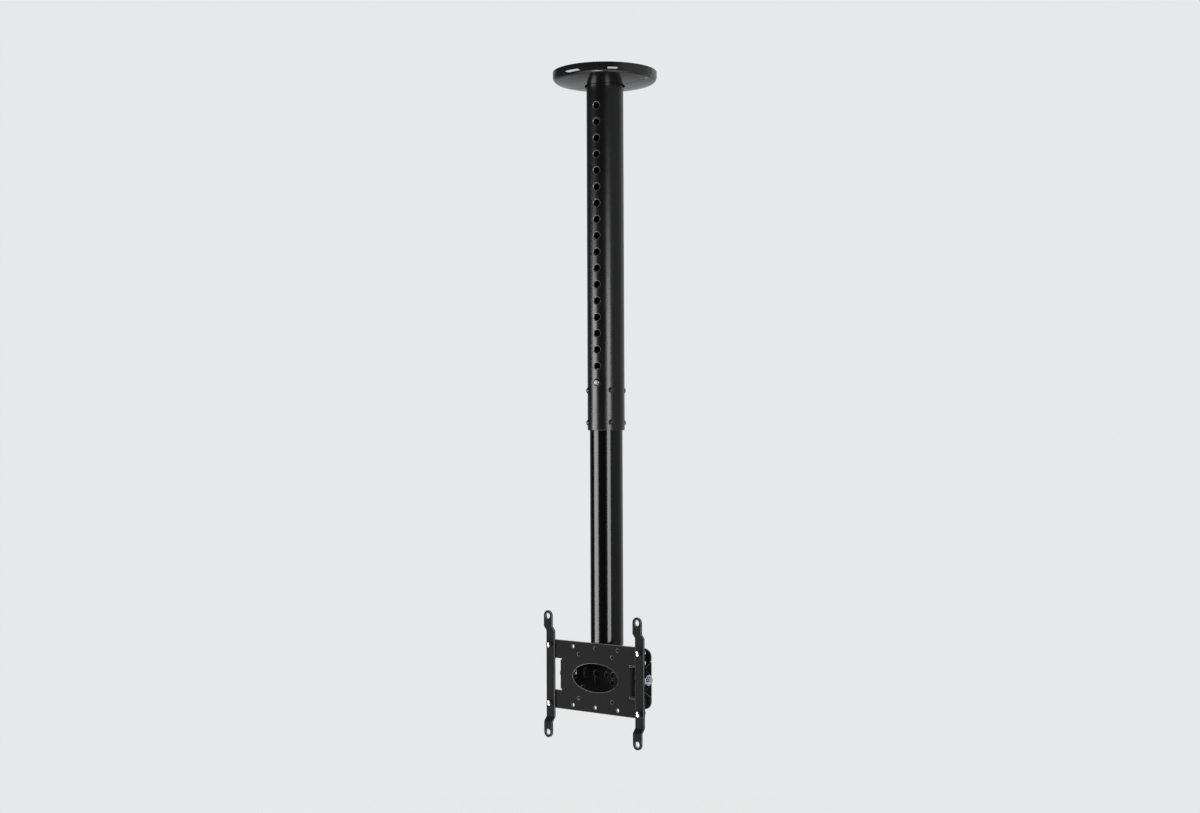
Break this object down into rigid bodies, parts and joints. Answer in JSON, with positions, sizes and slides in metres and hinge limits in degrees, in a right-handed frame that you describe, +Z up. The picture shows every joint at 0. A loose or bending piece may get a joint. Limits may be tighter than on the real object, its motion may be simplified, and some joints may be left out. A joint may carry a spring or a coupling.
{
  "type": "tv ceiling mount",
  "caption": "Telescopic ceiling mount for a flat screen: dished cover, perforated outer tube, sliding inner tube with snap button, swivelling and tilting screen plate with adapter arms.",
  "frame": {"origin": "on the pole's axis at the ceiling, on the upper face of the ceiling plate", "axes": "+Z up along the pole, -Y out of the front of the screen plate, +X to its right"},
  "size_m": [0.219, 0.179, 1.1435],
  "materials": {
    "satin_black": "satin",
    "gloss_black": "gloss",
    "cover_plastic": "gloss",
    "black_steel": "satin",
    "zinc_steel": "bright",
    "spring_steel": "satin",
    "nylon": "matt"
  },
  "bodies": {
    "ceiling": {"ceiling_plate": "satin_black", "cover_front": "cover_plastic", "cover_rear": "cover_plastic", "outer_tube": "satin_black", "spigot_screws": "black_steel", "clamp_screws": "black_steel"},
    "drop": {"inner_tube": "gloss_black", "button_spring": "spring_steel", "swivel_plug": "zinc_steel", "swivel_bolt": "zinc_steel", "swivel_bearing": "nylon", "swivel_washer": "zinc_steel"},
    "button": {"snap_button": "zinc_steel"},
    "yoke": {"tilt_yoke": "satin_black", "pivot_bolts": "zinc_steel", "pivot_nuts": "zinc_steel", "friction_washers": "nylon"},
    "screen": {"screen_plate": "satin_black", "left_arm": "satin_black", "right_arm": "satin_black", "arm_screws": "zinc_steel", "arm_nuts": "zinc_steel", "lock_bolts": "zinc_steel", "lock_washers": "zinc_steel", "lock_spacers": "nylon", "lock_nuts": "zinc_steel"}
  },
  "joints": [
    {"name": "drop_slide", "type": "slide", "parent": "ceiling", "child": "drop", "axis": [0, 0, 1], "range_m": [0, 0.333]},
    {"name": "button_press", "type": "slide", "parent": "drop", "child": "button", "axis": [-0.2079, 0.9781, 0], "range_m": [0, 0.006], "stiffness_N_per_m": 1500, "springref_m": -0.004, "deforming": ["button_spring"]},
    {"name": "head_swivel", "type": "hinge", "parent": "drop", "child": "yoke", "pos_m": [0, 0, -0.983], "axis": [0, 0, 1], "continuous": true},
    {"name": "screen_tilt", "type": "hinge", "parent": "yoke", "child": "screen", "pos_m": [0, -0.013, -1.034], "axis": [1, 0, 0], "range_deg": [0, 20]}
  ]
}
